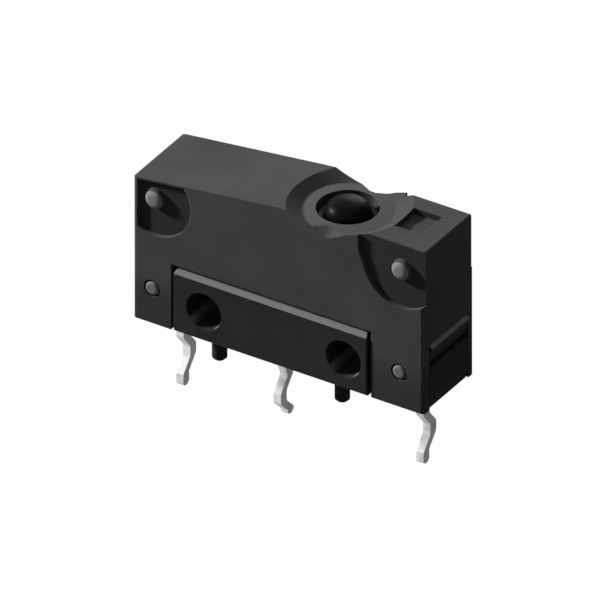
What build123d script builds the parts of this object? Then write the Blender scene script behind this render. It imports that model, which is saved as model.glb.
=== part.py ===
from build123d import *
from math import degrees, radians, sin, sqrt
import os

# Sealed subminiature snap-action micro switch, in millimetres.
# Frame: origin in the middle of the body's bottom face, +X along the body towards
# the plain right block, +Y to the back, +Z up towards the button.

# Housing envelope
body_length = 19.8
body_width = 5.35
left_height = 9.6
roof_slope = 0.12
block_height = 10.45
right_height = 10.95
side_wall = 0.8
end_wall = 0.8
roof_wall = 0.7
corner_round = 0.25
edge_round = 0.12

# Seam between the base and the cover
seam_height = 4.4
seam_gap = 0.05
deck_rise = 0.35
deck_round = 0.2
seal_width = 0.3
seal_fit = 0.02

# Cover legs that clip down over the base
leg_thickness = 0.55
left_leg_length = 2.6
right_leg_length = 3.6
leg_clearance = 0.1
leg_end_gap = 0.25
snap_boss_radius = 0.45
snap_boss_clearance = 0.1
snap_boss_height = 2.35
left_snap_from_end = 1.3
right_snap_from_end = 1.7
snap_boss_proud = 0.08

# Mounting band of the base, between the legs
band_proud = 0.12
band_chamfer = 0.45
band_end_round = 0.5
band_foot_chamfer = 0.15
mount_pitch = 9.5
mount_centre_x = -0.25
mount_height = 2.05
mount_hole_radius = 1.2

# End panels of the base
end_rib_proud = 0.15
end_rib_chamfer = 0.25
end_rib_undercut = 0.2
end_groove_low = 2.8
end_groove_height = 0.25
end_groove_depth = 0.35
end_foot_chamfer = 0.15
end_foot_height = 0.8

# Valley across the roof, and the collar and well that hold the button
shoulder_from_left = 10.4
shoulder_round = 1.6
valley_from_left = 12.95
valley_depth = 1.15
valley_bow = 0.2
block_from_left = 14.5
collar_radius = 2.5
collar_rise = 0.22
collar_round = 0.12
well_radius = 1.85
well_depth = 0.35
well_floor_wall = 0.45

# Pivot bosses for an add-on lever, in recesses at both upper corners
recess_depth = 0.25
pivot_radius = 0.65
pivot_proud = 0.45
pivot_round = 0.4
left_pivot_from_end = 1.45
left_pivot_height = 8.45
left_recess_radius = 2.45
left_recess_rim = 0.3
left_recess_lip = 0.15
right_pivot_from_end = 1.6
right_pivot_height = 9.3
right_recess_radius = 2.55
right_recess_side_from_end = 4.5
right_recess_blend_height = 0.75
right_recess_turn = 195

# Slot in the top of the right block
slot_length = 1.9
slot_width = 2.2
slot_depth = 0.8
slot_from_end = 1.85

# Locating pegs under the base
peg_radius = 0.45
peg_length = 2.85
peg_tip = 0.15
left_peg_from_left = 4.2
right_peg_from_left = 12.55

# Terminals, stamped from plated strip
strip_thickness = 0.5
strip_width = 1.0
root_reach = 1.2
pin_width = 0.62
terminal_reach = 5.2
terminal_tip = 0.18
kink_offset = 0.75
side_pin_set_back = -0.3
middle_pin_set_back = 0.35
side_kink_start = 1.9
middle_kink_start = 2.5
kink_run = 0.9
kink_flat = 0.7
kink_round = 0.45
com_from_left = 1.87
no_from_left = 8.57
nc_from_end = 1.78
terminal_clearance = 0.02
seal_pocket_length = 1.6
seal_pocket_width = 2.3
seal_pocket_depth = 0.8

# Common anchor bracket and its rivet end
anchor_thickness = 0.3
anchor_width = 1.8
anchor_left_margin = 0.6
hinge_post_from_terminal = 0.75
spring_post_from_hinge = 2.0
spring_post_width = 1.0
spring_post_rise = 0.3
rivet_end_rise = 0.25

# Snap mechanism
contact_from_end = 3.45
contact_gap = 0.5
contact_rest_gap = 0.03
contact_head_radius = 0.6
contact_head_height = 0.27
contact_shank_radius = 0.3
contact_shank_clearance = 0.02
contact_crown = 0.08
fixed_contact_height = 0.3
blade_thickness = 0.15
blade_width = 2.4
blade_tip_margin = 0.9
blade_tail = 0.25
blade_window_width = 1.3
blade_window_from_button = 1.6
blade_window_margin = 0.3
spring_thickness = 0.12
spring_width = 1.0
spring_rise = 1.0
spring_gap = 0.05
arm_tip_margin = 0.7

# Button, its rubber cap and the cap's clamping ring
button_travel = 0.6
stem_radius = 0.85
stem_clearance = 0.05
flange_radius = 1.25
flange_height = 0.6
flange_gap = 0.05
nose_radius = 0.6
nose_margin = 0.04
cap_rim_radius = 1.75
cap_rim_height = 0.2
cap_radius = 1.4
cap_wall = 0.3
cap_height = 1.3
cap_round = 0.95
cap_stem_gap = 0.05
ring_inner_gap = 0.06
ring_height = 0.16

# Places worked out from the sizes above
left_x = -body_length / 2
right_x = body_length / 2
half_width = body_width / 2
inner_half_width = half_width - side_wall
core_half_width = half_width - leg_thickness - leg_clearance
shoulder_x = left_x + shoulder_from_left
block_x = left_x + block_from_left
cover_foot = seam_height + seam_gap
deck_height = seam_height + deck_rise
button_x = left_x + valley_from_left
valley_height = right_height - valley_depth
collar_top = valley_height + collar_rise
well_floor = valley_height - well_depth
ceiling = well_floor - well_floor_wall
com_x = left_x + com_from_left
no_x = left_x + no_from_left
nc_x = right_x - nc_from_end
contact_x = right_x - contact_from_end
hinge_x = com_x + hinge_post_from_terminal
spring_post_x = hinge_x + spring_post_from_hinge

# Heights of the contact stack, from the deck up
no_arm_top = deck_height + strip_thickness
no_contact_top = no_arm_top + fixed_contact_height
lower_head_bottom = no_contact_top + contact_gap + contact_rest_gap
blade_bottom = lower_head_bottom + contact_head_height
blade_top = blade_bottom + blade_thickness
upper_head_top = blade_top + contact_head_height
nc_contact_bottom = upper_head_top + contact_rest_gap
nc_arm_bottom = nc_contact_bottom + fixed_contact_height
nc_arm_top = nc_arm_bottom + strip_thickness

# The blade turns about its hinge by the contact gap, and drops less under the button
blade_turn = contact_gap / (contact_x - hinge_x)
drop_under_button = blade_turn * (button_x - hinge_x)
nose_gap = button_travel - drop_under_button + nose_margin
nose_bottom = blade_top + nose_gap
flange_top = ceiling - flange_gap
flange_bottom = flange_top - flange_height


def slab(outline, low_y, high_y):
    """An outline drawn in X and Z, as a solid from low_y to high_y."""
    return extrude(Plane.XZ.offset(-high_y) * outline, high_y - low_y)


def end_slab(outline, low_x, high_x):
    """An outline drawn in Y and Z, as a solid from low_x to high_x."""
    return extrude(Plane.YZ.offset(low_x) * outline, high_x - low_x)


def block(low, high):
    """A box between two corners."""
    size = [b - a for a, b in zip(low, high)]
    middle = [(a + b) / 2 for a, b in zip(low, high)]
    return Pos(*middle) * Box(*size)


def across(radius, x, z, low_y, high_y):
    """A cylinder along Y."""
    return Pos(x, (low_y + high_y) / 2, z) * Rot(90, 0, 0) * Cylinder(radius, high_y - low_y)


def upright(radius, x, low_z, high_z):
    """A cylinder along Z in the middle plane."""
    return Pos(x, 0, (low_z + high_z) / 2) * Cylinder(radius, high_z - low_z)


def turned(profile, x):
    """A profile drawn in radius and height, turned about the vertical line at x."""
    return Pos(x, 0, 0) * revolve(Plane.XZ * profile, Axis.Z)


def both_sides(solid):
    """A solid of the front half with its mirror image in the back half."""
    return solid + mirror(solid, Plane.XZ)


def roof_height(x):
    """Height of the sloping roof at x."""
    return left_height + roof_slope * (x - left_x)


def cover_shell():
    """Outer form of the cover above the seam, with the valley across its roof."""
    shoulder = (shoulder_x, roof_height(shoulder_x))
    valley = (button_x, valley_height)
    block = (block_x, block_height)
    corners = [(right_x, right_height), block, (left_x, left_height)]
    outline = make_face([
        SagittaArc(shoulder, valley, -valley_bow),
        Polyline(valley, block, (right_x, right_height), (right_x, cover_foot)),
        Polyline((right_x, cover_foot), (left_x, cover_foot), (left_x, left_height), shoulder),
    ])
    outline = fillet([corner_at(outline, *place) for place in corners], edge_round)
    outline = fillet(corner_at(outline, *shoulder), shoulder_round)
    shell = slab(outline, -half_width, half_width) + button_collar()
    plan = RectangleRounded(body_length, body_width, corner_round)
    return shell & extrude(plan, right_height + 1)


def corner_at(outline, x, z):
    """The corner of a flat outline that lies nearest to a place."""
    return outline.vertices().sort_by_distance((x, z, 0))[0]


def button_collar():
    """Collar that stands in the valley round the button's well, level with the block at most."""
    collar = upright(collar_radius, button_x, well_floor - well_floor_wall, collar_top)
    return fillet(collar.edges().sort_by(Axis.Z)[-1], collar_round)


def cover_cavity():
    """Room inside the cover for the deck of the base and the mechanism."""
    step_x = shoulder_x - roof_wall / 2
    low_x = left_x + end_wall
    outline = make_face(Polyline(
        (low_x, 0),
        (right_x - end_wall, 0),
        (right_x - end_wall, ceiling),
        (step_x, ceiling),
        (step_x, roof_height(step_x) - roof_wall),
        (low_x, roof_height(low_x) - roof_wall),
        close=True,
    ))
    return slab(outline, -inner_half_width, inner_half_width)


def right_recess_outline():
    """Outline of the recess round the right pivot: round below, straight beside the block."""
    x = right_x - right_pivot_from_end
    z = right_pivot_height
    turn = radians(right_recess_turn)
    side_x = right_x - right_recess_side_from_end
    joint_x = x + right_recess_radius * sin(turn + radians(90))
    joint = (joint_x, z + right_recess_radius * sin(turn))
    tangent = (-sin(turn), sin(turn + radians(90)))
    blend_top = (side_x, z + right_recess_blend_height)
    beyond = right_x + end_wall
    exit_drop = sqrt(max(right_recess_radius ** 2 - (beyond - x) ** 2, 0))
    exit_point = (beyond, z - exit_drop)
    side = Line((side_x, right_height + 1), blend_top)
    blend = Spline(blend_top, joint, tangents=[(0, -1), tangent])
    bottom = ThreePointArc(joint, (x, z - right_recess_radius), exit_point)
    rest = Polyline(exit_point, (beyond, right_height + 1), (side_x, right_height + 1))
    return make_face([side, blend, bottom, rest])


def recesses():
    """The lever recesses of the front face."""
    x = left_x + left_pivot_from_end
    floor_y = -half_width + recess_depth
    rim_x = left_x + left_recess_rim
    far_x = x + 2 * left_recess_radius
    under_roof = make_face(Polyline(
        (rim_x, 0),
        (far_x, 0),
        (far_x, roof_height(far_x) - left_recess_lip),
        (rim_x, roof_height(rim_x) - left_recess_lip),
        close=True,
    ))
    round_area = Pos(x, left_pivot_height) * Circle(left_recess_radius)
    left = slab(round_area & under_roof, -body_width, floor_y)
    right = slab(right_recess_outline(), -body_width, floor_y)
    return left + right


def pivot_boss(x, z):
    """A domed pivot boss on the floor of a front recess."""
    floor_y = -half_width + recess_depth
    boss = across(pivot_radius, x, z, floor_y - pivot_proud, floor_y + side_wall / 4)
    return fillet(boss.edges().sort_by(Axis.Y)[0], pivot_round)


def leg(low_x, high_x, snap_x):
    """A front leg of the cover with the hole that clips over the snap boss."""
    foot = block((low_x, -half_width, 0), (high_x, -half_width + leg_thickness, cover_foot))
    corner = [e for e in foot.edges().filter_by(Axis.Z) if e.center().Y < -half_width + leg_thickness / 2]
    outer = [e for e in corner if abs(abs(e.center().X) - body_length / 2) < leg_clearance]
    foot = fillet(outer, corner_round)
    hole_radius = snap_boss_radius + snap_boss_clearance
    return foot - across(hole_radius, snap_x, snap_boss_height, -body_width, 0)


def make_cover():
    """Cover: roof, walls, valley, four clip legs and the four lever pivots."""
    cover = cover_shell() - cover_cavity()
    cover -= both_sides(recesses())
    cover += both_sides(leg(left_x, left_x + left_leg_length, left_x + left_snap_from_end))
    cover += both_sides(leg(right_x - right_leg_length, right_x, right_x - right_snap_from_end))
    cover += both_sides(pivot_boss(left_x + left_pivot_from_end, left_pivot_height))
    cover += both_sides(pivot_boss(right_x - right_pivot_from_end, right_pivot_height))
    cover -= upright(well_radius, button_x, well_floor, right_height + 1)
    cover -= upright(stem_radius + stem_clearance, button_x, ceiling - 1, well_floor + 1)
    slot_x = right_x - slot_from_end
    slot_low = (slot_x - slot_length / 2, -slot_width / 2, right_height - slot_depth)
    slot_high = (slot_x + slot_length / 2, slot_width / 2, right_height + 1)
    return cover - block(slot_low, slot_high)


def base_core():
    """Middle of the base between the legs' inner faces, with the shaped end panels."""
    groove_high = end_groove_low + end_groove_height
    rib_x = right_x + end_rib_proud
    right_side = [
        (right_x - end_foot_chamfer, 0),
        (right_x, end_foot_height),
        (right_x, end_groove_low),
        (right_x - end_groove_depth, end_groove_low),
        (right_x - end_groove_depth, groove_high),
        (right_x - end_rib_undercut, groove_high),
        (rib_x, seam_height - end_rib_chamfer),
        (rib_x - end_rib_chamfer, seam_height),
    ]
    left_side = [(-x, z) for x, z in reversed(right_side)]
    core = slab(make_face(Polyline(*right_side, *left_side, close=True)), -core_half_width, core_half_width)
    deck = extrude(Plane.XY.offset(seam_height - 1) * deck_plan(0), deck_rise + 1)
    return core + deck


def mounting_band():
    """Raised pad with a chamfered top, through which both mounting holes run."""
    low_x = left_x + left_leg_length + leg_end_gap
    high_x = right_x - right_leg_length - leg_end_gap
    outer_y = half_width + band_proud
    section = make_face(Polyline(
        (-outer_y + band_foot_chamfer, 0),
        (outer_y - band_foot_chamfer, 0),
        (outer_y, band_foot_chamfer),
        (outer_y, seam_height - band_chamfer),
        (outer_y - band_chamfer, seam_height),
        (-outer_y + band_chamfer, seam_height),
        (-outer_y, seam_height - band_chamfer),
        (-outer_y, band_foot_chamfer),
        close=True,
    ))
    band = end_slab(section, low_x, high_x)
    plan = Pos((low_x + high_x) / 2, 0, seam_height / 2) * Box(high_x - low_x, 2 * outer_y, seam_height)
    front = slab(
        Pos((low_x + high_x) / 2, seam_height / 2)
        * RectangleRounded(high_x - low_x, seam_height, band_end_round),
        -outer_y,
        outer_y,
    )
    low_half = block((low_x, -outer_y, 0), (high_x, outer_y, seam_height / 2))
    return band & (front + low_half) & plan


def snap_boss(x):
    """A front snap boss that stands in the leg's hole, with a domed end."""
    boss = across(snap_boss_radius, x, snap_boss_height, -half_width - snap_boss_proud, 0)
    return fillet(boss.edges().sort_by(Axis.Y)[0], snap_boss_proud + leg_clearance)


def peg(x):
    """A locating peg under the base."""
    pin = upright(peg_radius, x, -peg_length, 1)
    return chamfer(pin.edges().sort_by(Axis.Z)[0], peg_tip)


def terminal_places():
    """The three terminal positions along the body."""
    return [com_x, no_x, nc_x]


def make_base():
    """Base: core, mounting band, pegs and snap bosses, cut for terminals and screws."""
    base = base_core() + mounting_band()
    base += both_sides(snap_boss(left_x + left_snap_from_end))
    base += both_sides(snap_boss(right_x - right_snap_from_end))
    base += peg(left_x + left_peg_from_left)
    base += peg(left_x + right_peg_from_left)
    for side in (-1, 1):
        x = mount_centre_x + side * mount_pitch / 2
        hole = across(mount_hole_radius, x, mount_height, -body_width, body_width)
        base -= hole
    for x in terminal_places():
        half_t = strip_thickness / 2 + terminal_clearance
        half_w = strip_width / 2 + terminal_clearance
        base -= block((x - half_t, -half_w, -1), (x + half_t, half_w, deck_height + 1))
        half_l = seal_pocket_length / 2
        half_p = seal_pocket_width / 2
        base -= block((x - half_l, -half_p, -1), (x + half_l, half_p, seal_pocket_depth))
    return base


def deck_plan(spread):
    """Plan of the base's deck, grown by spread all round."""
    length = body_length - 2 * (end_wall + seal_width + seal_fit) + 2 * spread
    width = body_width - 2 * (side_wall + seal_width + seal_fit) + 2 * spread
    return RectangleRounded(length, width, deck_round + spread)


def make_case_seal():
    """Sealing frame pressed between the deck of the base and the cover's walls."""
    frame = deck_plan(seal_width) - deck_plan(seal_fit)
    return extrude(Plane.XY.offset(seam_height) * frame, deck_rise)


def make_terminal_seal(x):
    """Potted seal round one terminal, in its pocket under the base."""
    half_l = seal_pocket_length / 2
    half_p = seal_pocket_width / 2
    half_t = strip_thickness / 2
    half_w = strip_width / 2
    plug = block((x - half_l, -half_p, 0), (x + half_l, half_p, seal_pocket_depth))
    return plug - block((x - half_t, -half_w, -1), (x + half_t, half_w, seal_pocket_depth + 1))


def terminal_blade(x, top, set_back, kink, start):
    """Flat terminal strip whose narrower pin runs at set_back and has a locking kink below start."""
    half_root = strip_width / 2
    half_pin = pin_width / 2
    low = start + kink_run
    high = low + kink_flat
    centre = [
        (set_back, -start),
        (set_back + kink, -low),
        (set_back + kink, -high),
        (set_back, -min(high + kink_run, terminal_reach - 2 * terminal_tip)),
    ]
    front = [(y - half_pin, z) for y, z in centre]
    back = [(y + half_pin, z) for y, z in centre]
    outline = make_face(Polyline(
        (-half_root, top),
        (-half_root, -root_reach),
        *front,
        (set_back - half_pin, -terminal_reach + terminal_tip),
        (set_back - half_pin + terminal_tip, -terminal_reach),
        (set_back + half_pin - terminal_tip, -terminal_reach),
        (set_back + half_pin, -terminal_reach + terminal_tip),
        *reversed(back),
        (half_root, -root_reach),
        (half_root, top),
        close=True,
    ))
    bends = [outline.vertices().sort_by_distance((y, z, 0))[0] for y, z in front[:3] + back[:3]]
    outline = fillet(bends, kink_round)
    return end_slab(outline, x - strip_thickness / 2, x + strip_thickness / 2)


def make_com_terminal():
    """Common terminal, riveted over the anchor bracket at its top."""
    top = deck_height + anchor_thickness + rivet_end_rise
    return terminal_blade(com_x, top, side_pin_set_back, kink_offset, side_kink_start)


def make_no_terminal():
    """Normally open terminal, with an arm along the deck to below the moving contact."""
    strip = terminal_blade(no_x, no_arm_top, middle_pin_set_back, -kink_offset, middle_kink_start)
    arm_low = (no_x - strip_thickness / 2, -strip_width / 2, deck_height)
    arm_high = (contact_x + arm_tip_margin, strip_width / 2, no_arm_top)
    pad = Pos(contact_x, 0, (deck_height + no_arm_top) / 2) * Cylinder(arm_tip_margin, strip_thickness)
    strip += block(arm_low, arm_high) + pad
    return strip - shank_hole(deck_height, no_arm_top)


def make_nc_terminal():
    """Normally closed terminal, rising at the right wall and turning left over the contact."""
    strip = terminal_blade(nc_x, nc_arm_top, 0, kink_offset, side_kink_start)
    arm_low = (contact_x - arm_tip_margin, -strip_width / 2, nc_arm_bottom)
    arm_high = (nc_x + strip_thickness / 2, strip_width / 2, nc_arm_top)
    pad = Pos(contact_x, 0, (nc_arm_bottom + nc_arm_top) / 2) * Cylinder(arm_tip_margin, strip_thickness)
    strip += block(arm_low, arm_high) + pad
    return strip - shank_hole(nc_arm_bottom, nc_arm_top)


def shank_hole(low_z, high_z):
    """Cutter for a contact's shank hole through a strip between two heights."""
    return upright(contact_shank_radius + contact_shank_clearance, contact_x, low_z - 1, high_z + 1)


def make_fixed_contact(face_z, back_z, arm_far_z):
    """Contact rivet: a crowned head from back_z to face_z and a shank through the arm."""
    head = upright(contact_head_radius, contact_x, min(face_z, back_z), max(face_z, back_z))
    face_edge = head.edges().sort_by(Axis.Z)[0 if face_z < back_z else -1]
    head = fillet(face_edge, contact_crown)
    return head + upright(contact_shank_radius, contact_x, min(back_z, arm_far_z), max(back_z, arm_far_z))


def make_moving_contact():
    """Double-headed contact rivet through the tip of the blade."""
    lower = upright(contact_head_radius, contact_x, lower_head_bottom, blade_bottom)
    lower = fillet(lower.edges().sort_by(Axis.Z)[0], contact_crown)
    upper = upright(contact_head_radius, contact_x, blade_top, upper_head_top)
    upper = fillet(upper.edges().sort_by(Axis.Z)[-1], contact_crown)
    return lower + upper + upright(contact_shank_radius, contact_x, blade_bottom, blade_top)


def make_com_anchor():
    """Bracket on the deck: a post under the blade's hinge and a post for the spring."""
    floor_high = deck_height + anchor_thickness
    half_t = anchor_thickness / 2
    low_x = com_x - anchor_left_margin
    half_a = anchor_width / 2
    floor = block((low_x, -half_a, deck_height), (spring_post_x + half_t, half_a, floor_high))
    hinge_post = block(
        (hinge_x - half_t, -half_a, deck_height),
        (hinge_x + half_t, half_a, blade_bottom - contact_rest_gap),
    )
    spring_post = block(
        (spring_post_x - half_t, -spring_post_width / 2, deck_height),
        (spring_post_x + half_t, spring_post_width / 2, blade_top + spring_post_rise),
    )
    half_s = strip_thickness / 2 + terminal_clearance
    half_w = strip_width / 2 + terminal_clearance
    slot = block((com_x - half_s, -half_w, deck_height - 1), (com_x + half_s, half_w, floor_high + 1))
    return floor + hinge_post + spring_post - slot


def make_blade():
    """Contact blade with the window that the snap spring works in."""
    low_x = hinge_x - blade_tail
    high_x = contact_x + blade_tip_margin
    window_low = spring_post_x - anchor_thickness / 2 - blade_window_margin
    window_high = button_x - blade_window_from_button
    blade = block((low_x, -blade_width / 2, blade_bottom), (high_x, blade_width / 2, blade_top))
    blade = fillet(blade.edges().filter_by(Axis.Z), blade_width / 5)
    window = block(
        (window_low, -blade_window_width / 2, blade_bottom - 1),
        (window_high, blade_window_width / 2, blade_top + 1),
    )
    return blade - window - shank_hole(blade_bottom, blade_top)


def make_snap_spring():
    """Bowed spring strip, from the anchor's spring post to the far edge of the window."""
    low_x = spring_post_x + anchor_thickness / 2 + spring_gap
    high_x = button_x - blade_window_from_button - spring_gap
    mid_x = (low_x + high_x) / 2
    z = blade_bottom + spring_thickness / 2
    low_end = (low_x, z + spring_thickness)
    high_end = (high_x, z + spring_thickness)
    outer = ThreePointArc(low_end, (mid_x, z + spring_rise), high_end)
    inner = ThreePointArc((low_x, z), (mid_x, z + spring_rise - spring_thickness), (high_x, z))
    ends = [Line(outer @ 0, inner @ 0), Line(outer @ 1, inner @ 1)]
    return slab(make_face([outer, inner, *ends]), -spring_width / 2, spring_width / 2)


def make_push_button():
    """Button: stem through the roof, a flange that stops under it, and a nose over the blade."""
    stem_top = cap_top() - cap_wall - cap_stem_gap
    profile = make_face(Polyline(
        (0, nose_bottom),
        (nose_radius, nose_bottom),
        (nose_radius, flange_bottom),
        (flange_radius, flange_bottom),
        (flange_radius, flange_top),
        (stem_radius, flange_top),
        (stem_radius, stem_top),
        (0, stem_top),
        close=True,
    ))
    button = turned(profile, button_x)
    button = fillet(button.edges().sort_by(Axis.Z)[-1], stem_radius * 0.6)
    return fillet(button.edges().sort_by(Axis.Z)[0], nose_radius / 3)


def cap_top():
    """Height of the crown of the rubber cap."""
    return well_floor + cap_height


def panel(low, high):
    """A rectangle between two corners of a drawing plane."""
    middle = ((low[0] + high[0]) / 2, (low[1] + high[1]) / 2)
    return Pos(*middle) * Rectangle(high[0] - low[0], high[1] - low[1])


def dome_half(radius, low_z, top_z, round_radius):
    """Right half of an upright section with its top corner rounded."""
    half = panel((0, low_z), (radius, top_z))
    corner = [v for v in half.vertices() if v.X > radius / 2 and v.Y > (low_z + top_z) / 2]
    return fillet(corner, round_radius)


def make_rubber_cap():
    """Rubber cap: a thin dome on a flat rim, closed over the stem."""
    outer = dome_half(cap_radius, well_floor, cap_top(), cap_round)
    rim = panel((0, well_floor), (cap_rim_radius, well_floor + cap_rim_height))
    hollow = dome_half(cap_radius - cap_wall, well_floor - 1, cap_top() - cap_wall, cap_round - cap_wall)
    return turned(outer + rim - hollow, button_x)


def make_cap_ring():
    """Ring in the well that clamps the rim of the rubber cap."""
    low_z = well_floor + cap_rim_height
    outer = upright(cap_rim_radius, button_x, low_z, low_z + ring_height)
    return outer - upright(cap_radius + ring_inner_gap, button_x, low_z - 1, low_z + ring_height + 1)


def main():
    """Builds every piece and writes one STEP file for each."""
    pieces = {
        "base": make_base(),
        "cover": make_cover(),
        "case_seal": make_case_seal(),
        "com_terminal": make_com_terminal(),
        "no_terminal": make_no_terminal(),
        "nc_terminal": make_nc_terminal(),
        "com_terminal_seal": make_terminal_seal(com_x),
        "no_terminal_seal": make_terminal_seal(no_x),
        "nc_terminal_seal": make_terminal_seal(nc_x),
        "no_contact": make_fixed_contact(no_contact_top, no_arm_top, deck_height),
        "nc_contact": make_fixed_contact(nc_contact_bottom, nc_arm_bottom, nc_arm_top),
        "moving_contact": make_moving_contact(),
        "com_anchor": make_com_anchor(),
        "contact_blade": make_blade(),
        "snap_spring": make_snap_spring(),
        "push_button": make_push_button(),
        "rubber_cap": make_rubber_cap(),
        "cap_ring": make_cap_ring(),
    }
    os.makedirs("parts", exist_ok=True)
    for name, piece in pieces.items():
        export_step(piece, f"parts/{name}.step")
    print("blade turn", round(degrees(blade_turn), 3), "degrees")
    print("hinge at", round(hinge_x, 3), round(blade_bottom, 3), "nose gap", round(nose_gap, 3))
    print("cap from", round(well_floor, 3), "to", round(cap_top(), 3), "ceiling", round(ceiling, 3))


main()
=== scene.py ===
import math

import bmesh
import bpy
from mathutils import Matrix, Vector


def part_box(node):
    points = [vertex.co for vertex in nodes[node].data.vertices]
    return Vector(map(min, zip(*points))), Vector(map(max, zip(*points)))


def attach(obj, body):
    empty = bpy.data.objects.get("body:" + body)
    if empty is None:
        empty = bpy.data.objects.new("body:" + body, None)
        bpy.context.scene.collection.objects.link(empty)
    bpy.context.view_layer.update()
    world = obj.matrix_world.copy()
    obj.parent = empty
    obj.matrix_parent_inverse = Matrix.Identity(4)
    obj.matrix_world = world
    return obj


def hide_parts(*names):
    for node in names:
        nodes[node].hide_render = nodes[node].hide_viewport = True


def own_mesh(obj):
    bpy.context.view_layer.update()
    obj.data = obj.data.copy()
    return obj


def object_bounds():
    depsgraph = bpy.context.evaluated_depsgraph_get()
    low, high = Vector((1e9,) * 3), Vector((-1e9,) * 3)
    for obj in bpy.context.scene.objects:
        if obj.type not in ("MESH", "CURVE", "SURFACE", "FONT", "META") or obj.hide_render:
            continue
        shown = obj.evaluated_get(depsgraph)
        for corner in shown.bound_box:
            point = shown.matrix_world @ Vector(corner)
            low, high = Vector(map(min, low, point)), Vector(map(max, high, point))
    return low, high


# Sealed micro switch: black moulded housing, rubber-capped button, tinned board terminals.
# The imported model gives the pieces, their places and sizes. This script gives the finishes, makes the top
# of the cover anew, with a round dish, a level block and a shallow slot, and shapes the rubber cap.

MM = 0.001

# Camera, as read from the photograph
VIEW_AZIMUTH = 32.36
VIEW_ELEVATION = 32.46
VIEW_ROLL = -0.04
VIEW_WIDTH = 34.49 * MM
VIEW_DISTANCE = 0.3
VIEW_NEAR = 0.01
VIEW_FAR = 10
AIM = Vector((0.31, -0.85, 3.61)) * MM

# Studio
WHITE = (1, 1, 1, 1)
FLOOR_DROP = 45 * MM
FLOOR_SIZE = 3.0
FLOOR_SHOWN = 0.98
FLOOR_TINT = (0.12, 0.12, 0.12)
FLOOR_ROUGHNESS = 0.9
SHEEN_AWAY = Vector((0.6, 0.8, 0))
SHEEN_REACH_WORLD = 1.0
SHEEN_REACH_FLOOR = 70 * MM
SHEEN_LOW = 0.2
WORLD_LEVEL = 0.09

# Lamps: name, strength, the side that the light comes from, and softness
LAMPS = (
    ("key", 4.3, Vector((-0.865, -0.27, 0.42)), math.radians(7)),
    ("rim", 0.8, Vector((-0.30, 0.90, 0.32)), math.radians(30)),
    ("top", 0.35, Vector((0.05, 0.05, 1.0)), math.radians(50)),
)

# Finishes, as base colours in linear light
COVER_COLOUR = (0.078, 0.081, 0.080)
# The base is darker than the cover partly in its own tone and partly as painted shade over the lower part of
# the switch.
BASE_COLOUR = (0.036, 0.037, 0.037)
BUTTON_COLOUR = (0.020, 0.020, 0.020)
RUBBER_COLOUR = (0.0035, 0.0035, 0.0035)
RESIN_COLOUR = (0.022, 0.020, 0.018)
TIN_COLOUR = (0.84, 0.84, 0.82)
BRONZE_COLOUR = (0.60, 0.36, 0.17)
SILVER_COLOUR = (0.80, 0.79, 0.76)

# Lever recesses and pivots of the cover
RECESS_DEPTH = 0.25 * MM
PIVOT_PROUD = 0.2 * MM

# Rubber cap over the button, whose shoulder is an arc that ends at so many degrees
CAP_TOP = 10.93 * MM
CAP_CROWN = 0.06 * MM
CAP_WALL = 0.3 * MM
CAP_SHOULDER = 0.9 * MM
CAP_SHOULDER_END = 84
CAP_FOOT_ROUND = 0.07 * MM
CAP_RIM_ROUND = 0.05 * MM
CAP_STEPS = 72
RING_WALL = 0.29 * MM
RING_CLEARANCE = 0.06 * MM

# Round dish of the cover round the button, with a slightly crowned floor and a sloping wall
DISH_FLOOR = 10.30 * MM
DISH_CROWN = 0.1 * MM
DISH_FLOOR_RADIUS = 2.75 * MM
DISH_RIM_RADIUS = 3.68 * MM
DISH_RIM = 10.85 * MM
DISH_OVERRUN = 0.6 * MM
DISH_STEPS = 144
WELL_RADIUS = 1.86 * MM
WELL_FOOT = 9.5 * MM

# Top of the cover round the dish, and the slot in it: outlines of X and Z in millimetres
ROOF_RUN = (
    (-0.3, 10.744), (0.9, 10.888), (5.398, 10.915), (5.398, 9.55),
    (0.6, 9.55), (0.4, 10.2), (-0.3, 10.2),
)
BLOCK_RUN = ((5.39, 10.915), (9.78, 10.935), (9.78, 9.55), (5.39, 9.55))
SLOT_RUN = ((6.75, 10.52), (8.65, 10.52), (8.65, 11.5), (6.75, 11.5))
ROOF_HALF_WIDTH = 2.671 * MM
BLOCK_HALF_WIDTH = 2.421 * MM
SLOT_HALF_WIDTH = 1.105 * MM
SLOT_MIDDLE = 0.2 * MM

# Notch in each long face beside the dish: half width, Y and Z of its corners, in millimetres
NOTCH_X = 3.3
NOTCH_CORNERS = (
    (0.25, 2.65, 9.9), (1.5, 2.65, 10.6), (0.2, 1.98, 10.6), (0.25, 3.2, 9.9),
    (1.5, 3.2, 10.6), (1.5, 3.2, 11.2), (1.5, 2.65, 11.2), (0.2, 1.98, 11.2),
)

# Smooth steps that bound the regions with a tone of their own, as distances
RECESS_STEP = (0.5 * RECESS_DEPTH, 0.9 * RECESS_DEPTH)
PIVOT_STEP = (0.01 * MM, 0.07 * MM)
DISH_STEP = 0.02 * MM
LEG_STEP = (1.4 * MM, 3.6 * MM)
LEDGE_STEP = (9.5 * MM, 9.6 * MM)
BOSS_STEP_X = (7.2 * MM, 7.4 * MM)
BOSS_STEP_Y = (2.3 * MM, 2.4 * MM)

# The same, as the share of a face's direction that points sideways or up
SIDEWAYS = (0.9, 0.99)
LEVEL = (0.975, 0.985)
CHAMFER_FROM = (0.5, 0.66)
CHAMFER_TO = (0.76, 0.9)

# Making of the meshes
POLE = 0.0001 * MM
POLE_WELD = 0.0005 * MM
WELD = 0.0002 * MM
SHARP_ANGLE = math.radians(30)

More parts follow.
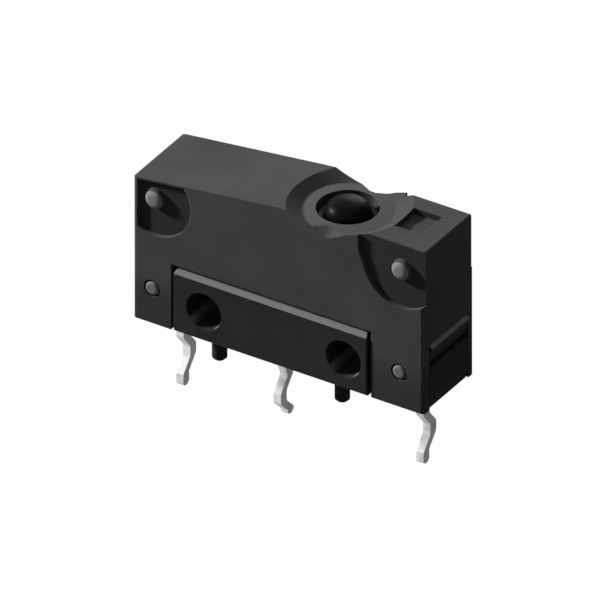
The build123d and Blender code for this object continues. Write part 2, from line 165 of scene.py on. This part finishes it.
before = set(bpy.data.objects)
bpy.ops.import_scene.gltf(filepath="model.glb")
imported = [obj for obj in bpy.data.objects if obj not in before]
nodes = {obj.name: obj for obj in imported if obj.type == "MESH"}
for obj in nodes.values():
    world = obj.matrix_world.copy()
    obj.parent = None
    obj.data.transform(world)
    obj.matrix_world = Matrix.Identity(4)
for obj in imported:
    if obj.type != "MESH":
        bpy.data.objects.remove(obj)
cad_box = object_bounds()


class Signal:
    """A shader socket that takes part in Python expressions."""

    def __init__(self, shading, socket):
        self.shading = shading
        self.socket = socket

    def maths(self, operation, other=None, flipped=False):
        values = [self] if other is None else [self, other]
        if flipped:
            values.reverse()
        return self.shading.node("ShaderNodeMath", {"operation": operation}, dict(enumerate(values)))

    def __add__(self, other):
        return self.maths("ADD", other)

    def __radd__(self, other):
        return self.maths("ADD", other)

    def __sub__(self, other):
        return self.maths("SUBTRACT", other)

    def __rsub__(self, other):
        return self.maths("SUBTRACT", other, flipped=True)

    def __mul__(self, other):
        return self.maths("MULTIPLY", other)

    def __rmul__(self, other):
        return self.maths("MULTIPLY", other)

    def __pow__(self, other):
        return self.maths("POWER", other)

    def __abs__(self):
        return self.maths("ABSOLUTE")

    def larger(self, other):
        """The larger of two signals."""
        return self.maths("MAXIMUM", other)

    def between(self, low, high):
        """0 below low, 1 above high and a smooth rise between them."""
        settings = {"interpolation_type": "SMOOTHSTEP"}
        return self.shading.node("ShaderNodeMapRange", settings, {"Value": self, 1: low, 2: high})


class Shading:
    """A node tree under construction."""

    def __init__(self, tree):
        self.tree = tree

    def node(self, kind, settings, values, output=0):
        """Makes a node, sets its settings, then its sockets, and returns one output."""
        made = self.tree.nodes.new(kind)
        for key, value in settings.items():
            setattr(made, key, value)
        for key, value in values.items():
            self.feed(made.inputs[key], value)
        return Signal(self, made.outputs[output])

    def feed(self, socket, value):
        """Links a signal to a socket, or sets the socket's own value."""
        if isinstance(value, Signal):
            self.tree.links.new(value.socket, socket)
        else:
            socket.default_value = value

    def ray(self, kind):
        """1 for the rays of one kind, such as Is Camera Ray."""
        return self.node("ShaderNodeLightPath", {}, {}, kind)

    def seen(self):
        """1 for rays that come from the camera, a reflection or a refraction."""
        bounced = self.ray("Is Glossy Ray").larger(self.ray("Is Transmission Ray"))
        return self.ray("Is Camera Ray").larger(bounced)

    def sheen(self, coordinate, reach):
        """1 to the eye. In reflections the studio is white towards the key light and grey away from it."""
        place = self.node("ShaderNodeTexCoord", {}, {}, coordinate)
        along = {0: place, 1: SHEEN_AWAY.normalized()}
        away = self.node("ShaderNodeVectorMath", {"operation": "DOT_PRODUCT"}, along, "Value")
        limits = {"From Min": -reach, "From Max": reach, "To Min": 1.0, "To Max": SHEEN_LOW}
        fall = self.node("ShaderNodeMapRange", {}, {"Value": away, **limits})
        return fall.larger(self.ray("Is Camera Ray"))


class Finish(Shading):
    """A material under construction, with its shader and its pattern space."""

    def __init__(self, name):
        self.material = bpy.data.materials.new(name)
        self.material.use_nodes = True
        super().__init__(self.material.node_tree)
        self.shader = self.tree.nodes["Principled BSDF"]
        self.place = self.node("ShaderNodeTexCoord", {}, {}, "Object")

    def set(self, **values):
        """Sets the shader's sockets, with underscores for the spaces in their names."""
        for key, value in values.items():
            self.feed(self.shader.inputs[key.replace("_", " ")], value)

    def noise(self, size, detail, stretch=(1, 1, 1)):
        """Noise whose features are about size metres across."""
        place = self.node("ShaderNodeMapping", {}, {"Vector": self.place, "Scale": stretch})
        return self.node("ShaderNodeTexNoise", {}, {"Vector": place, "Scale": 1 / size, "Detail": detail})

    def mix(self, factor, low, high):
        """A colour between low and high."""
        values = {"Factor": factor, 6: (*low, 1) if isinstance(low, tuple) else low}
        values[7] = (*high, 1) if isinstance(high, tuple) else high
        return self.node("ShaderNodeMix", {"data_type": "RGBA"}, values, 2)

    def axis(self, vector, index):
        """One component of a vector: 0, 1 or 2."""
        return self.node("ShaderNodeSeparateXYZ", {}, {"Vector": vector}, index)

    def outwards(self, index):
        """Distance from the middle plane of the part, along one axis."""
        return abs(self.axis(self.place, index))

    def flat_normal(self):
        """The surface normal before any rounding or relief."""
        return self.node("ShaderNodeNewGeometry", {}, {}, "True Normal")

    def rounded(self, radius):
        """The surface normal, turned smoothly over every edge within radius."""
        return self.node("ShaderNodeBevel", {"samples": 6}, {"Radius": radius})

    def edges(self, radius):
        """1 along the edges and 0 on the flats."""
        flat = self.node("ShaderNodeNewGeometry", {}, {}, "Normal")
        turned = self.rounded(radius)
        along = self.node("ShaderNodeVectorMath", {"operation": "DOT_PRODUCT"}, {0: flat, 1: turned}, "Value")
        return (1 - along).between(0.02, 0.3)

    def bump(self, height, depth, radius):
        """Relief of depth metres over rounded edges, as the shader's normal."""
        values = {"Height": height, "Strength": 1.0, "Distance": depth, "Normal": self.rounded(radius)}
        self.set(Normal=self.node("ShaderNodeBump", {}, values))


def scaled(colour, factor):
    return tuple(c * factor for c in colour)


def long_face():
    """Distance of the cover's long faces from the middle plane. The pivots stand proud of them."""
    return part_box("cover")[1].y - PIVOT_PROUD


def button_axis():
    """Point at height 0 on the axis of the button."""
    low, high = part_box("rubber_cap")
    return Vector(((low.x + high.x) / 2, (low.y + high.y) / 2, 0))


def shaded_recess_floors(finish):
    """1 on the floors of the lever recesses, which lie just inside both long faces. The skin is darkened
    there as painted shade.
    """
    depth = long_face() - finish.outwards(1)
    facing = abs(finish.axis(finish.flat_normal(), 1))
    return depth.between(*RECESS_STEP) * facing.between(*SIDEWAYS)


def pivot_highlights(finish):
    """1 on the lever pivots, which stand proud of both long faces. Their lighter skin is a painted highlight.
    """
    start, end = PIVOT_STEP
    return finish.outwards(1).between(long_face() + start, long_face() + end)


def lit_dish_floor(finish):
    """1 on what is nearly level round the button: the floor of the dish and the top of the ring. Their
    lighter skin is painted light.
    """
    centre = button_axis()
    across = finish.axis(finish.place, 0) - centre.x
    along = finish.axis(finish.place, 1) - centre.y
    radius = (across * across + along * along) ** 0.5
    level = finish.axis(finish.flat_normal(), 2).between(*LEVEL)
    return level * (1 - radius.between(DISH_FLOOR_RADIUS, DISH_FLOOR_RADIUS + DISH_STEP))


def lower_cover_shade(finish):
    """1 low on the cover, over the lower ends of its legs. This is painted shade that makes the cover darker
    towards the bottom.
    """
    return 1 - finish.axis(finish.place, 2).between(*LEG_STEP)


def chamfer_highlights(finish):
    """1 on the moulded chamfers that face half up, and 0 on the flats. A much lighter skin there is a painted
    highlight.
    """
    rise = finish.axis(finish.flat_normal(), 2)
    return rise.between(*CHAMFER_FROM) * (1 - rise.between(*CHAMFER_TO))


def end_ledge_highlights(finish):
    """1 on the chamfered ledge across each end of the base, over the groove. Its lighter skin is a painted
    highlight.
    """
    return chamfer_highlights(finish) * finish.outwards(0).between(*LEDGE_STEP)


def snap_boss_highlights(finish):
    """1 on the bosses that hold the cover's legs, beyond both ends of the lower band. Their lighter skin is a
    painted highlight.
    """
    return finish.outwards(1).between(*BOSS_STEP_Y) * finish.outwards(0).between(*BOSS_STEP_X)


# Regions of the mouldings with the tone of each, as a multiple of the piece's colour: painted shade below 1,
# painted light and painted highlights above 1
COVER_REGIONS = ((shaded_recess_floors, 0.52), (lower_cover_shade, 0.66), (pivot_highlights, 3.2), (lit_dish_floor, 1.35))
BASE_REGIONS = ((chamfer_highlights, 6.0), (end_ledge_highlights, 6.4), (snap_boss_highlights, 5.6))


def moulded_plastic(name, colour, roughness, edge_highlight_tone, regions=()):
    """Satin black moulding: a fine spark-eroded skin, faint flow clouds and a painted highlight along the
    edges.

    Each region is a function of the finish, which gives 1 inside it, and the tone of the skin there: painted
    shade where the tone darkens it, painted light and highlights where it lightens it.
    """
    finish = Finish(name)
    cloud = finish.noise(size=3.2 * MM, detail=4.0)
    grain = finish.noise(size=0.09 * MM, detail=2.0)
    tone = (cloud * 0.6 + grain * 0.4).between(0.3, 0.7)
    base = finish.mix(tone, scaled(colour, 0.86), scaled(colour, 1.14))
    # Painted shade and painted highlights: each region takes its own tone of the colour.
    for inside, region_tone in regions:
        base = finish.mix(inside(finish), base, scaled(colour, region_tone))
    # Painted highlight: the colour is lighter along every edge.
    edge = finish.edges(radius=0.09 * MM)
    finish.set(Base_Color=finish.mix(edge * 0.75, base, scaled(colour, edge_highlight_tone)))
    finish.set(Roughness=roughness + (grain - 0.5) * 0.18, Specular_IOR_Level=0.012)
    finish.bump(grain, depth=0.004 * MM, radius=0.07 * MM)
    return finish.material


def smooth_rubber(name, colour):
    """Black rubber with a dull bloom and a soft gloss."""
    finish = Finish(name)
    bloom = finish.noise(size=0.5 * MM, detail=4.0)
    finish.set(Base_Color=finish.mix(bloom.between(0.35, 0.75), colour, scaled(colour, 1.9)))
    finish.set(Roughness=0.32 + bloom * 0.1, Specular_IOR_Level=0.045)
    finish.bump(bloom, depth=0.006 * MM, radius=0.05 * MM)
    return finish.material


def potting_resin(name, colour):
    """Cast resin: glossy, slightly uneven, with a few clouds."""
    finish = Finish(name)
    cloud = finish.noise(size=0.6 * MM, detail=3.0)
    finish.set(Base_Color=finish.mix(cloud, scaled(colour, 0.7), scaled(colour, 1.4)))
    finish.set(Roughness=0.22 + cloud * 0.2, Specular_IOR_Level=0.3)
    finish.bump(cloud, depth=0.02 * MM, radius=0.05 * MM)
    return finish.material


def rolled_metal(name, colour, roughness, streak_axis, metallic=0.9):
    """Plated or rolled strip: fine streaks along streak_axis, cloudy dulling and a painted highlight along
    the edges.
    """
    finish = Finish(name)
    stretch = [1.0, 1.0, 1.0]
    stretch[streak_axis] = 0.06
    streak = finish.noise(size=0.05 * MM, detail=2.0, stretch=tuple(stretch))
    dull = finish.noise(size=0.7 * MM, detail=4.0).between(0.35, 0.75)
    base = finish.mix(dull, colour, scaled(colour, 0.72))
    # Painted highlight: the colour is lighter along every edge.
    edge = finish.edges(radius=0.06 * MM)
    finish.set(Base_Color=finish.mix(edge * 0.5, base, scaled(colour, 1.2)))
    finish.set(Metallic=metallic, Roughness=roughness + dull * 0.14 + (streak - 0.5) * 0.12)
    finish.bump(streak, depth=0.002 * MM, radius=0.05 * MM)
    return finish.material


def assign(material, *names):
    """Gives the named pieces one material, in place of their own."""
    for name in names:
        mesh = nodes[name].data
        mesh.materials.clear()
        mesh.materials.append(material)


def finish_nodes():
    """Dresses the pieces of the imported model, and returns the cover's plastic and the rubber."""
    cover = moulded_plastic("cover_black", COVER_COLOUR, roughness=0.55, edge_highlight_tone=1.8, regions=COVER_REGIONS)
    base = moulded_plastic("base_black", BASE_COLOUR, roughness=0.48, edge_highlight_tone=2.4, regions=BASE_REGIONS)
    button = moulded_plastic("button_black", BUTTON_COLOUR, roughness=0.4, edge_highlight_tone=1.6)
    rubber = smooth_rubber("seal_rubber", RUBBER_COLOUR)
    resin = potting_resin("potting_resin", RESIN_COLOUR)
    tin = rolled_metal("tin_plate", TIN_COLOUR, roughness=0.28, streak_axis=2, metallic=0.8)
    bronze = rolled_metal("spring_bronze", BRONZE_COLOUR, roughness=0.28, streak_axis=0)
    silver = rolled_metal("contact_silver", SILVER_COLOUR, roughness=0.25, streak_axis=0)
    assign(cover, "cover", "cap_ring")
    assign(base, "base")
    assign(button, "push_button")
    assign(rubber, "case_seal")
    assign(resin, "com_terminal_seal", "no_terminal_seal", "nc_terminal_seal")
    assign(tin, "com_terminal", "no_terminal", "nc_terminal", "com_anchor")
    assign(bronze, "contact_blade", "snap_spring")
    assign(silver, "no_contact", "nc_contact", "moving_contact")
    return cover, rubber


def new_piece(name, bm, material):
    """Turns a finished bmesh into a shaded object at the origin."""
    mesh = bpy.data.meshes.new(name)
    bm.normal_update()
    bm.to_mesh(mesh)
    bm.free()
    mesh.materials.append(material)
    piece = bpy.data.objects.new(name, mesh)
    bpy.context.scene.collection.objects.link(piece)
    for face in mesh.polygons:
        face.use_smooth = True
    return piece


def spun(profile, centre, steps):
    """A profile of (radius, height) points turned about the vertical line through centre."""
    bm = bmesh.new()
    verts = [bm.verts.new((centre.x + r, centre.y, z)) for r, z in profile]
    edges = [bm.edges.new(pair) for pair in zip(verts, verts[1:])]
    bmesh.ops.spin(bm, geom=verts + edges, cent=centre, axis=(0, 0, 1), angle=math.tau,
                   steps=steps, use_merge=True, use_duplicate=False)
    bmesh.ops.remove_doubles(bm, verts=bm.verts, dist=POLE_WELD)
    bmesh.ops.recalc_face_normals(bm, faces=bm.faces)
    return bm


def arc(centre, radius, start, end, count):
    """Points of an arc in a (radius, height) profile, angles in degrees."""
    points = []
    for i in range(count + 1):
        angle = math.radians(start + (end - start) * i / count)
        points.append((centre[0] + radius * math.cos(angle), centre[1] + radius * math.sin(angle)))
    return points


def prism(outline, half_width):
    """An outline of (X, Z) points in millimetres, as a closed solid across the part."""
    bm = bmesh.new()
    face = bm.faces.new([bm.verts.new((x * MM, -half_width, z * MM)) for x, z in outline])
    pushed = bmesh.ops.extrude_face_region(bm, geom=[face])["geom"]
    verts = [v for v in pushed if isinstance(v, bmesh.types.BMVert)]
    bmesh.ops.translate(bm, verts=verts, vec=(0, 2 * half_width, 0))
    bmesh.ops.recalc_face_normals(bm, faces=bm.faces)
    return bm


def dish():
    """The solid that cuts the round dish and clears the well below it."""
    slant = (DISH_RIM_RADIUS - DISH_FLOOR_RADIUS) / (DISH_RIM - DISH_FLOOR)
    profile = [
        (POLE, WELL_FOOT),
        (WELL_RADIUS, WELL_FOOT),
        (WELL_RADIUS, DISH_FLOOR + DISH_CROWN),
        (DISH_FLOOR_RADIUS, DISH_FLOOR),
        (DISH_RIM_RADIUS + slant * DISH_OVERRUN, DISH_RIM + DISH_OVERRUN),
        (POLE, DISH_RIM + DISH_OVERRUN),
    ]
    return spun(profile, button_axis(), DISH_STEPS)


def slot():
    """The solid that cuts the slot in the block."""
    bm = prism(SLOT_RUN, SLOT_HALF_WIDTH)
    bmesh.ops.translate(bm, verts=bm.verts, vec=(0, SLOT_MIDDLE, 0))
    return bm


def notch(side):
    """The solid that cuts one notch beside the dish, on the front (-1) or the back (1)."""
    bm = bmesh.new()
    for half_width, y, z in NOTCH_CORNERS:
        for x in (NOTCH_X - half_width, NOTCH_X + half_width):
            bm.verts.new((x * MM, side * y * MM, z * MM))
    bmesh.ops.convex_hull(bm, input=bm.verts)
    bmesh.ops.recalc_face_normals(bm, faces=bm.faces)
    return bm


def combine(piece, operation, bm, material):
    """Joins a solid to a piece or cuts it out of it, and drops the solid."""
    tool = new_piece("tool", bm, material)
    step = piece.modifiers.new(operation, "BOOLEAN")
    step.operation = operation
    step.solver = "EXACT"
    step.object = tool
    made = piece.evaluated_get(bpy.context.evaluated_depsgraph_get())
    mesh = bpy.data.meshes.new_from_object(made)
    piece.modifiers.clear()
    piece.data = mesh
    bpy.data.objects.remove(tool)


def mark_corners(piece):
    """Shades a cut piece smooth over its curves and sharp at its corners, in place of its packed normals."""
    mesh = piece.data
    mesh.attributes.remove(mesh.attributes["custom_normal"])
    bm = bmesh.new()
    bm.from_mesh(mesh)
    bmesh.ops.dissolve_degenerate(bm, edges=bm.edges, dist=WELD)
    for edge in bm.edges:
        edge.smooth = edge.calc_face_angle(math.pi) < SHARP_ANGLE
    for face in bm.faces:
        face.smooth = True
    bm.to_mesh(mesh)
    bm.free()


def make_cover(material):
    """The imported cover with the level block, the round dish, the slot and the notches in its top."""
    bm = bmesh.new()
    bm.from_mesh(nodes["cover"].data)
    bmesh.ops.remove_doubles(bm, verts=bm.verts, dist=WELD)
    piece = new_piece("cover_body", bm, material)
    combine(piece, "UNION", prism(ROOF_RUN, ROOF_HALF_WIDTH), material)
    combine(piece, "UNION", prism(BLOCK_RUN, BLOCK_HALF_WIDTH), material)
    for cutter in (dish(), slot(), notch(-1), notch(1)):
        combine(piece, "DIFFERENCE", cutter, material)
    mark_corners(piece)
    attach(piece, "housing")
    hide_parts("cover")


def make_button_cap(material):
    """Rubber cap with its rolled rim, a soft shoulder and a slightly crowned top."""
    low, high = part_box("rubber_cap")
    centre = button_axis()
    rim_radius = (high.x - low.x) / 2
    rim_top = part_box("cap_ring")[0].z
    side_radius = rim_radius - RING_WALL - RING_CLEARANCE
    shoulder = (side_radius - CAP_SHOULDER, CAP_TOP - CAP_CROWN - CAP_SHOULDER)
    outer = [(POLE, CAP_TOP), (shoulder[0] * 0.5, CAP_TOP - CAP_CROWN * 0.25)]
    outer += arc(shoulder, CAP_SHOULDER, CAP_SHOULDER_END, 0, count=10)
    foot = (side_radius + CAP_FOOT_ROUND, rim_top + CAP_FOOT_ROUND)
    outer += arc(foot, CAP_FOOT_ROUND, 180, 270, count=4)
    rim = (rim_radius - CAP_RIM_ROUND, rim_top - CAP_RIM_ROUND)
    outer += arc(rim, CAP_RIM_ROUND, 90, 0, count=3)
    outer += [(rim_radius, low.z), (side_radius - CAP_WALL, low.z)]
    inner = arc(shoulder, CAP_SHOULDER - CAP_WALL, 0, CAP_SHOULDER_END, count=8)
    inner.append((POLE, CAP_TOP - CAP_WALL))
    piece = new_piece("button_cap", spun(outer + inner, centre, CAP_STEPS), material)
    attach(piece, "housing")
    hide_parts("rubber_cap")
    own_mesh(piece)


def make_world():
    """White to the eye and in reflections, and a low even light on the object."""
    world = bpy.data.worlds.new("studio")
    bpy.context.scene.world = world
    world.use_nodes = True
    world.node_tree.nodes.clear()
    studio = Shading(world.node_tree)
    sheen = studio.sheen("Generated", SHEEN_REACH_WORLD)
    shown = studio.node("ShaderNodeBackground", {}, {"Color": WHITE, "Strength": sheen})
    light = studio.node("ShaderNodeBackground", {}, {"Color": WHITE, "Strength": WORLD_LEVEL})
    both = studio.node("ShaderNodeMixShader", {}, {"Fac": studio.seen(), 1: light, 2: shown})
    out = studio.tree.nodes.new("ShaderNodeOutputWorld")
    studio.feed(out.inputs["Surface"], both)


def make_floor(lowest):
    """Pale floor below the held part. It shows white, and keeps a trace of the shadow."""
    bm = bmesh.new()
    bmesh.ops.create_grid(bm, x_segments=1, y_segments=1, size=FLOOR_SIZE)
    bmesh.ops.translate(bm, verts=bm.verts, vec=(0, 0, lowest - FLOOR_DROP))
    finish = Finish("studio_floor")
    finish.set(Base_Color=(*FLOOR_TINT, 1), Roughness=FLOOR_ROUGHNESS)
    lit = Signal(finish, finish.shader.outputs[0])
    shown = finish.node("ShaderNodeEmission", {}, {"Strength": finish.sheen("Object", SHEEN_REACH_FLOOR)})
    both = finish.node("ShaderNodeMixShader", {}, {"Fac": finish.seen() * FLOOR_SHOWN, 1: lit, 2: shown})
    finish.feed(finish.tree.nodes["Material Output"].inputs["Surface"], both)
    new_piece("floor", bm, finish.material)


def make_lamp(name, strength, come_from, softness):
    """A soft distant lamp that shines from the given side."""
    lamp = bpy.data.lights.new(name, "SUN")
    lamp.energy = strength
    lamp.angle = softness
    light = bpy.data.objects.new(name, lamp)
    light.rotation_mode = "QUATERNION"
    light.rotation_quaternion = come_from.to_track_quat("Z", "Y")
    bpy.context.scene.collection.objects.link(light)


def make_camera():
    """Parallel view at the photograph's angle."""
    data = bpy.data.cameras.new("camera")
    data.type = "ORTHO"
    data.ortho_scale = VIEW_WIDTH
    data.clip_start = VIEW_NEAR
    data.clip_end = VIEW_FAR
    camera = bpy.data.objects.new("camera", data)
    azimuth = math.radians(VIEW_AZIMUTH)
    elevation = math.radians(VIEW_ELEVATION)
    back = Vector((
        math.sin(azimuth) * math.cos(elevation),
        -math.cos(azimuth) * math.cos(elevation),
        math.sin(elevation),
    ))
    camera.rotation_mode = "QUATERNION"
    turn = (-back).to_track_quat("-Z", "Y")
    camera.rotation_quaternion = turn @ Matrix.Rotation(math.radians(VIEW_ROLL), 3, "Z").to_quaternion()
    camera.location = AIM + back * VIEW_DISTANCE
    bpy.context.scene.collection.objects.link(camera)
    bpy.context.scene.camera = camera


def main():
    scene = bpy.context.scene
    scene.view_settings.view_transform = "Standard"
    make_camera()
    make_world()
    make_floor(cad_box[0].z)
    for lamp in LAMPS:
        make_lamp(*lamp)
    plastic, rubber = finish_nodes()
    make_cover(plastic)
    make_button_cap(rubber)


main()
